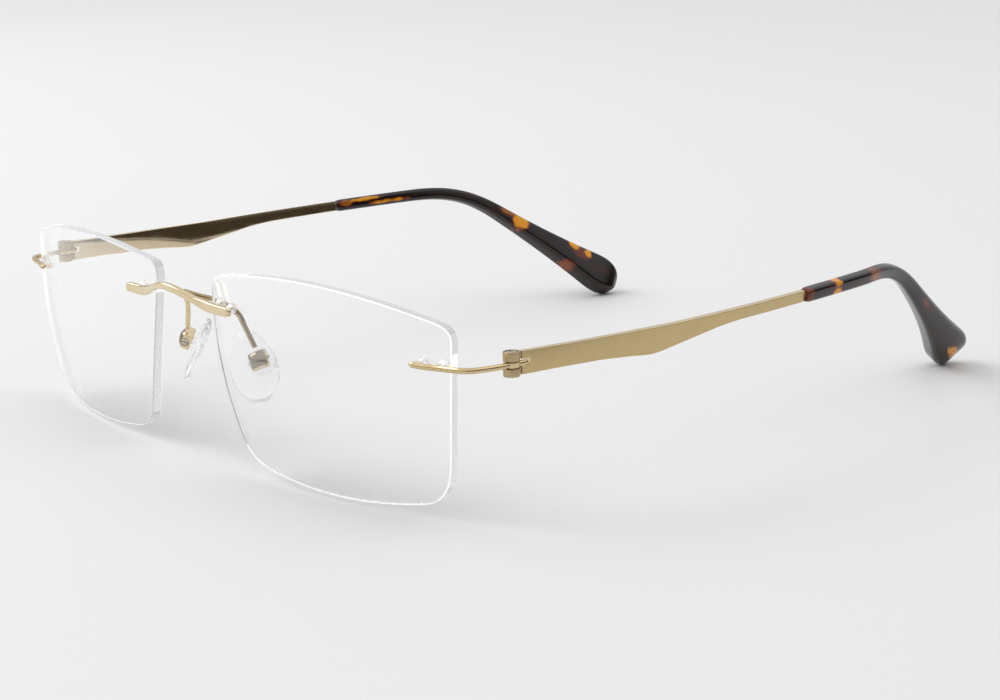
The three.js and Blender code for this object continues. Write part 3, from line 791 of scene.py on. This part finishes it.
def temple_yaw(s):
    plate = min(s, PLATE_END)
    curl = TIP_CURL * smooth(*TIP_CURL_SPAN, s)
    bow = YAW_START + YAW_RATE * plate + YAW_GROWTH * plate * plate
    return bow + TIP_YAW_RATE * (s - plate) + curl


def temple_pitch(s):
    return PITCH_START + BEND_DROP * smooth(BEND_START, BEND_START + BEND_LENGTH, s)


def temple_twist(s):
    plate = PLATE_TWIST * smooth(0.0, PLATE_TWIST_END, s)
    return plate + TIP_TWIST * smooth(TIP_START, TEMPLE_END, s)


def temple_heading(s):
    yaw = math.radians(temple_yaw(s))
    pitch = math.radians(temple_pitch(s))
    level = math.cos(pitch)
    return Vector((-math.sin(yaw) * level, math.cos(yaw) * level, -math.sin(pitch)))


PATH_STEP = 0.25
temple_line = [Vector((HINGE_X - 0.05, 0.0, HINGE_Z))]
for index in range(int(TEMPLE_END / PATH_STEP) + 1):
    middle = (index + 0.5) * PATH_STEP
    temple_line.append(temple_line[-1] + temple_heading(middle) * PATH_STEP)


def beside_temple(s, up, outward):
    """A point of the temple's section at s, moved up and outward from its line."""
    place = min(s / PATH_STEP, len(temple_line) - 1.001)
    i = int(place)
    centre = temple_line[i].lerp(temple_line[i + 1], place - i)
    yaw = math.radians(temple_yaw(s))
    side = Vector((math.cos(yaw), math.sin(yaw), 0.0))
    along = temple_heading(s)
    turn = Matrix.Rotation(math.radians(-temple_twist(s)), 3, along)
    return centre + turn @ side.cross(along) * up + turn @ side * outward


def plate_section(half):
    """A flat outer face, round edges and a crowned inner face, as (up, outward) points."""
    flat = -PLATE_THICKNESS / 2
    crown = PLATE_CROWN * min(1.0, half / 2.0)
    inside = []
    for i in range(15):
        place = 0.94 * (i / 7.0 - 1.0)
        inside.append((half * place, flat - crown * (1.0 - place * place)))
    section = []
    for point in rounded_box(half, PLATE_THICKNESS / 2, 0.13, 4):
        if point[1] > flat + 0.06:
            section.append(point)
        else:
            section += inside
            inside = []
    return section


def temple_mesh():
    """The flat metal plate, slightly crowned inside, with a slot for the endpiece's tail."""
    steps = 190
    rings, grain = [], []
    for i in range(steps + 1):
        s = mix(PLATE_START, PLATE_END, i / steps)
        top = eased(PLATE_TOP, s, 1.5)
        bottom = eased(PLATE_BOTTOM, s, 1.1)
        half = (top - bottom) / 2
        section = plate_section(half)
        rings.append([beside_temple(s, (top + bottom) / 2 + a, b) for a, b in section])
        grain += [(s, a, b) for a, b in section]
    half = ENDPIECE_HEIGHT / 2 + CLEAR
    low = (HINGE_X - 3.0, -1.0, HINGE_Z - half)
    high = (HINGE_X + 3.0, ENDPIECE_TAIL + 0.4, HINGE_Z + half)
    return combined(skin(rings, grain), ("DIFFERENCE", block(low, high)))


def paint_plate(data):
    """The flat outer face is satin, the inner face mirror-like and the edges polished."""
    data.update()
    for face in data.polygons:
        satin = face.normal.x > PLATE_FACE_LIMIT
        inner = face.normal.x < -PLATE_FACE_LIMIT
        face.material_index = 0 if satin else (1 if inner else 2)
    return data


plate = paint_plate(temple_mesh())
plate_finish = [SATIN, MIRROR_GOLD, POLISHED]
place_pair("temple", plate, "temple", plate_finish, sharp=30.0)


def knuckle_mesh(low, high, recess):
    """A bored barrel with a foot on the plate, and a recess for the screw's head."""
    at_hinge = Matrix.Translation((HINGE_X, 0.0, HINGE_Z))
    barrel = rod(KNUCKLE_RADIUS, low, high, 0.09, 64, at_hinge)
    foot = block((-0.45, 0.7, low + 0.1), (0.4, PLATE_START - CLEAR, high - 0.1), at_hinge)
    radius = HINGE_SCREW_RADIUS + 0.07
    profile = [(0.0, low - 1.0), (radius, low - 1.0)]
    if recess:
        ledge = high - HINGE_HEAD_DEPTH - 0.1
        profile.append((radius, ledge))
        radius = HINGE_HEAD_RADIUS + 0.1
        profile.append((radius, ledge))
    profile += [(radius, high + 1.0), (0.0, high + 1.0)]
    drill = lathe(profile, 40, at_hinge)
    return combined(barrel, ("UNION", foot), ("DIFFERENCE", drill))


eye_half = ENDPIECE_HEIGHT / 2 + CLEAR
knuckles = {
    "upper_knuckle": knuckle_mesh(eye_half, HINGE_TOP, True),
    "lower_knuckle": knuckle_mesh(HINGE_BOTTOM, -eye_half, False),
}
# The knuckles wear the gold darkened with painted shade.
for part, data in knuckles.items():
    place_pair(part, data, "temple", [GOLD_PAINTED_SHADE], sharp=35.0)


def hinge_screw_mesh():
    at_hinge = Matrix.Translation((HINGE_X, 0.0, HINGE_Z))
    top = HINGE_TOP - 0.05
    shank = rod(HINGE_SCREW_RADIUS, HINGE_BOTTOM, top - 0.2, 0.08, 40, at_hinge)
    head = rod(HINGE_HEAD_RADIUS, top - HINGE_HEAD_DEPTH + 0.1, top, 0.14, 56, at_hinge)
    slot = block((-1.2, -0.14, top - 0.2), (1.2, 0.14, top + 1.0), at_hinge)
    return combined(shank, ("UNION", head), ("DIFFERENCE", slot))


place_pair("hinge_screw", hinge_screw_mesh(), "temple", [STEEL], sharp=35.0)


def core_mesh():
    steps = 110
    rings = []
    for i in range(steps + 1):
        s = mix(PLATE_END + CLEAR, CORE_END, i / steps)
        section = rounded_box(CORE_HEIGHT / 2, CORE_THICKNESS / 2, 0.2, 3)
        rings.append([beside_temple(s, a, b) for a, b in section])
    return skin(rings)


place_pair("temple_core", core_mesh(), "temple", [STEEL], sharp=50.0)


def tip_mesh():
    """The acetate tip: a slim sleeve that bends down and widens to a paddle."""
    steps = 300
    fine = 30  # closer rings over the last few steps, where the end rounds off
    places = [mix(TIP_START, TEMPLE_END, i / steps) for i in range(steps - 12)]
    tail = places[-1]
    places += [mix(tail, TEMPLE_END, math.sin(math.pi / 2 * (i + 1) / fine)) for i in range(fine)]
    bend_height, height_gain, power = TIP_HEIGHT
    bend_thickness, thickness_gain = TIP_THICKNESS
    rings, grain = [], []
    for s in places:
        grown = max(0.0, (s - BEND_START) / (TEMPLE_END - BEND_START))
        into = max(0.0, TIP_START + TIP_START_ROUND - s) / TIP_START_ROUND
        out = max(0.0, s - (TEMPLE_END - TIP_END_ROUND)) / TIP_END_ROUND
        nose = math.sqrt(1.0 - 0.35 * into * into)
        height = bend_height + height_gain * grown**power
        height = height * math.sqrt(1.0 - 0.985 * abs(out) ** 2.3) * nose
        thickness = bend_thickness + thickness_gain * smooth(0.0, 1.0, grown)
        thickness = thickness * math.sqrt(1.0 - 0.96 * out**4) * nose
        corner = mix(0.34, 0.27, smooth(0.1, 0.5, grown)) * min(thickness, height)
        section = rounded_box(height / 2, thickness / 2, corner, 8)
        rings.append([beside_temple(s, a, b) for a, b in section])
        grain += [(s, a, b) for a, b in section]
    return skin(rings, grain)


place_pair(
    "temple_tip", tip_mesh(), "temple", [LEFT_ACETATE], [RIGHT_ACETATE], sharp=60.0
)

# ------------------------------------------------------------------ nose pads


def pad_frame():
    """Local X is the pad's screw, the nose is towards local -Z and Y is up."""
    splay = math.radians(PAD_SPLAY)
    screw = Vector((math.cos(splay), math.sin(splay), 0.0))
    up = Matrix.Rotation(math.radians(PAD_LEAN), 3, screw) @ Vector((0.0, 0.0, 1.0))
    away = screw.cross(up)
    roll = Matrix.Rotation(math.radians(PAD_ROLL), 3, away)
    basis = Matrix((roll @ screw, roll @ up, away)).transposed().to_4x4()
    return Matrix.Translation(PAD_BOX_CENTRE) @ basis


PAD_FRAME = pad_frame()
ALONG_X = Matrix.Rotation(math.pi / 2, 4, "Y")


def pad_arm_mesh():
    """A round wire from the back of the bridge bar to the pad box."""
    start = bar_point(PAD_ARM_START)
    start.y += BAR_DEPTH / 2 + 0.25
    path = [
        start,
        Vector((5.3, -15.9, 29.5)),
        Vector((6.7, -13.6, 28.7)),
        Vector((7.8, -11.5, 27.7)),
        Vector((8.6, -9.9, 26.0)),
        Vector((9.2, -9.3, 24.3)),
        Vector((11.05, -8.45, 20.25)),
    ]
    steps = 110
    rings = []
    side = None
    for i in range(steps + 1):
        t = i / steps
        along = spline(path, min(1.0, t + 0.005)) - spline(path, max(0.0, t - 0.005))
        along.normalize()
        side = along.orthogonal() if side is None else side - along * side.dot(along)
        side.normalize()
        other = along.cross(side)
        centre = spline(path, t)
        ring = []
        for j in range(24):
            angle = 2 * math.pi * j / 24
            outward = side * math.cos(angle) + other * math.sin(angle)
            ring.append(centre + outward * PAD_ARM_RADIUS)
        rings.append(ring)
    return skin(rings)


def pad_box_mesh():
    """A domed block with a slot for the pad's tang; its dome is numbered as a second material, gold
    with a painted dark reflection.
    """
    half_x, half_y, half_z = PAD_BOX_WIDTH / 2, PAD_BOX_HEIGHT / 2, PAD_BOX_DEPTH / 2
    steps = 16
    rings = []
    for i in range(steps + 1):
        x = (2.0 * i / steps - 1.0) * half_x
        crown = math.sqrt(1.0 - 0.75 * (x / half_x) ** 2)
        ring = [PAD_FRAME @ Vector((x, -half_y, -half_z))]
        for j in range(25):
            angle = math.pi * j / 24
            y = -half_y * math.copysign(abs(math.cos(angle)) ** 0.85, math.cos(angle))
            ring.append(PAD_FRAME @ Vector((x, y, half_z * crown * math.sin(angle) ** 0.95)))
        ring.append(PAD_FRAME @ Vector((x, half_y, -half_z)))
        rings.append(ring)
    body = softened(skin(rings), 0.22, 40.0, 4)
    slot = block(
        (-PAD_BOX_SLOT / 2, -PAD_BOX_SLOT_HALF_HEIGHT, -PAD_BOX_DEPTH),
        (PAD_BOX_SLOT / 2, PAD_BOX_SLOT_HALF_HEIGHT, PAD_BOX_DEPTH / 2 - 0.5),
        PAD_FRAME,
    )
    turned = PAD_FRAME @ ALONG_X
    bore = rod(PAD_SCREW_RADIUS + 0.1, -PAD_BOX_WIDTH, PAD_BOX_WIDTH, CUT_RIM, 32, turned)
    recess = rod(PAD_SCREW_HEAD_RADIUS + 0.1, -PAD_BOX_WIDTH, -half_x + 0.5, CUT_RIM, 40, turned)
    box = combined(body, ("DIFFERENCE", slot), ("DIFFERENCE", bore), ("DIFFERENCE", recess))
    # Faces that look outward, the dome, get the gold with the painted dark reflection.
    outward = PAD_FRAME.to_3x3() @ Vector((0.0, 0.0, 1.0))
    for face in box.polygons:
        face.material_index = 1 if face.normal.dot(outward) > 0.55 else 0
    return box


def pad_screw_mesh():
    turned = PAD_FRAME @ ALONG_X
    head = -PAD_BOX_WIDTH / 2
    shank = rod(PAD_SCREW_RADIUS, head + 0.2, PAD_BOX_WIDTH / 2 + 0.45, 0.1, 32, turned)
    cap = rod(PAD_SCREW_HEAD_RADIUS, head - 0.05, head + 0.4, 0.12, 40, turned)
    slot = block((head - 1.0, -0.1, -1.0), (head + 0.12, 0.1, 1.0), PAD_FRAME)
    return combined(shank, ("UNION", cap), ("DIFFERENCE", slot))


def nose_pad_mesh():
    """A soft oval pillow, narrower at the top, with a pocket behind for the insert."""
    rim = 28
    profile = []
    for i in range(rim + 1):
        angle = -math.pi / 2 + math.pi * i / rim
        radius = 0.0 if i in (0, rim) else math.cos(angle) ** 0.55
        profile.append((radius, math.sin(angle) * 0.5))
    pad = lathe(profile, 72)
    for vertex in pad.vertices:
        x, y, z = vertex.co
        narrow = 1.0 - 0.16 * y
        vertex.co.x = x * narrow * PAD_WIDTH / 2 + PAD_OFFSET[0]
        vertex.co.y = y * PAD_LENGTH / 2 + PAD_OFFSET[1]
        vertex.co.z = z * PAD_THICKNESS + PAD_BACK - PAD_THICKNESS / 2
    pad.transform(PAD_FRAME)
    bottom = PAD_BACK - INSERT_THICKNESS - 0.25
    pocket = rod(INSERT_RADIUS + 0.12, bottom, PAD_BACK + 1.0, 0.1, 56, PAD_FRAME)
    return combined(pad, ("DIFFERENCE", pocket))


def pad_insert_mesh():
    """A disc in the pad's pocket with a bored tang that turns on the pad's screw."""
    half = PAD_BOX_SLOT / 2 - 0.15
    eye_radius = 0.62
    turned = PAD_FRAME @ ALONG_X
    disc = rod(INSERT_RADIUS, PAD_BACK - INSERT_THICKNESS - 0.1, PAD_BACK - 0.1, 0.12, 56, PAD_FRAME)
    tang = block((-half, -eye_radius, PAD_BACK - 0.4), (half, eye_radius, 0.0), PAD_FRAME)
    eye = rod(eye_radius, -half, half, 0.05, 40, turned)
    bore = rod(PAD_SCREW_RADIUS + 0.08, -2.0, 2.0, CUT_RIM, 32, turned)
    return combined(disc, ("UNION", tang), ("UNION", eye), ("DIFFERENCE", bore))


arm = pad_arm_mesh()
# The left arm wears the gold darkened with painted shade, the right arm plain polished gold.
place_pair("pad_arm", arm, "front", [GOLD_PAINTED_SHADE], [POLISHED], sharp=60.0)
# Polished gold, and on the dome gold with a painted dark reflection.
box_gold_and_painted_reflection = [POLISHED, GOLD_PAINTED_DARK_REFLECTION]
place_pair("pad_box", pad_box_mesh(), "front", box_gold_and_painted_reflection, sharp=30.0)
place_pair("pad_screw", pad_screw_mesh(), "front", [STEEL], sharp=35.0)
place_pair("nose_pad", nose_pad_mesh(), "pad", [PAD])
place_pair("pad_insert", pad_insert_mesh(), "pad", [PAD], sharp=30.0)

# ------------------------------------------------------------------ floor, light and camera


def floor_material():
    nodes = Finish("studio_floor")
    nodes.set(Specular_IOR_Level=0.25, Roughness=0.6)
    cloud = nodes.noise(nodes.coordinates, 3.0, 2.0)
    nodes.link(nodes.blend(cloud, colour(0.80, 0.80, 0.80), colour(0.82, 0.82, 0.82)), "Base Color")
    return nodes.material


FLOOR_HALF = 6.0  # metres
signs = ((-1, -1), (1, -1), (1, 1), (-1, 1))
floor_corners = [(x * FLOOR_HALF, y * FLOOR_HALF, 0.0) for x, y in signs]
floor = bpy.data.objects.new("studio_floor", new_mesh(floor_corners, [(0, 1, 2, 3)]))
floor.data.materials.append(floor_material())
scene.collection.objects.link(floor)

# The studio's surroundings: bright overhead, with a dark low band towards the left side.
SKY_STRENGTH = 0.72
SKY_LOW = colour(0.85, 0.85, 0.86)
SKY_HIGH = colour(1.3, 1.3, 1.3)
SKY_BAND = colour(0.085, 0.07, 0.052)
BAND_TOWARD = (1.0, 0.1, 0.0)

world = bpy.data.worlds.new("studio")
scene.world = world
world.use_nodes = True
sky = Nodes(world.node_tree)
from_centre = sky.add("ShaderNodeTexCoord").outputs["Generated"]
height = sky.add("ShaderNodeSeparateXYZ", Vector=from_centre).outputs[2]
dot = {"operation": "DOT_PRODUCT"}
toward = sky.add("ShaderNodeVectorMath", dot, _0=from_centre, _1=BAND_TOWARD).outputs["Value"]
low = sky.remap(height, 0.25, 0.62, 1.0, 0.0)
aside = sky.remap(toward, 0.1, 0.55, 0.0, 1.0)
dark = sky.math("MULTIPLY", low, aside)
bright = sky.blend(sky.remap(height, 0.0, 1.0, 0.0, 1.0), SKY_LOW, SKY_HIGH)
tone = sky.blend(dark, bright, SKY_BAND)
background = sky.tree.nodes["Background"]
sky.tree.links.new(tone, background.inputs["Color"])
background.inputs["Strength"].default_value = SKY_STRENGTH


def softbox(name, location, target, size, power):
    """A rectangular light aimed at a point of the row frame, in metres and watts."""
    light = bpy.data.lights.new(name, "AREA")
    light.shape = "RECTANGLE"
    light.size, light.size_y = size
    light.energy = power
    item = bpy.data.objects.new(name, light)
    item.location = location
    item.rotation_mode = "QUATERNION"
    item.rotation_quaternion = (Vector(target) - Vector(location)).to_track_quat("-Z", "Y")
    scene.collection.objects.link(item)


softbox("key", (-0.75, -0.45, 0.8), (-0.1, 0.0, 0.0), (0.9, 0.7), 5.8)
softbox("fill", (0.5, 0.5, 1.0), (0.0, 0.0, 0.0), (0.6, 0.6), 0.5)

# The photograph's camera: right, up and back directions, and its place in the hinge frame.
CAMERA_RIGHT = Vector((0.64716868, 0.76188648, -0.02648956))
CAMERA_UP = Vector((-0.15986077, 0.1696013, 0.97246076))
CAMERA_BACK = Vector((0.74539737, -0.6251115, 0.23155641))
CAMERA_PLACE = Vector((334.984, -226.136, 110.906))
SENSOR_WIDTH = 36.0
FOCAL_LENGTH = 83.75
camera = bpy.data.objects.new("camera", bpy.data.cameras.new("camera"))
camera.data.sensor_width = SENSOR_WIDTH
camera.data.lens = FOCAL_LENGTH
camera.data.clip_start = 0.01
camera.matrix_world = (
    Matrix.Translation(ORIGIN + CAMERA_PLACE * MM)
    @ Matrix((CAMERA_RIGHT, CAMERA_UP, CAMERA_BACK)).transposed().to_4x4()
)
scene.collection.objects.link(camera)
scene.camera = camera
scene.view_settings.view_transform = "Standard"
scene.cycles.max_bounces = 32
scene.cycles.transmission_bounces = 32
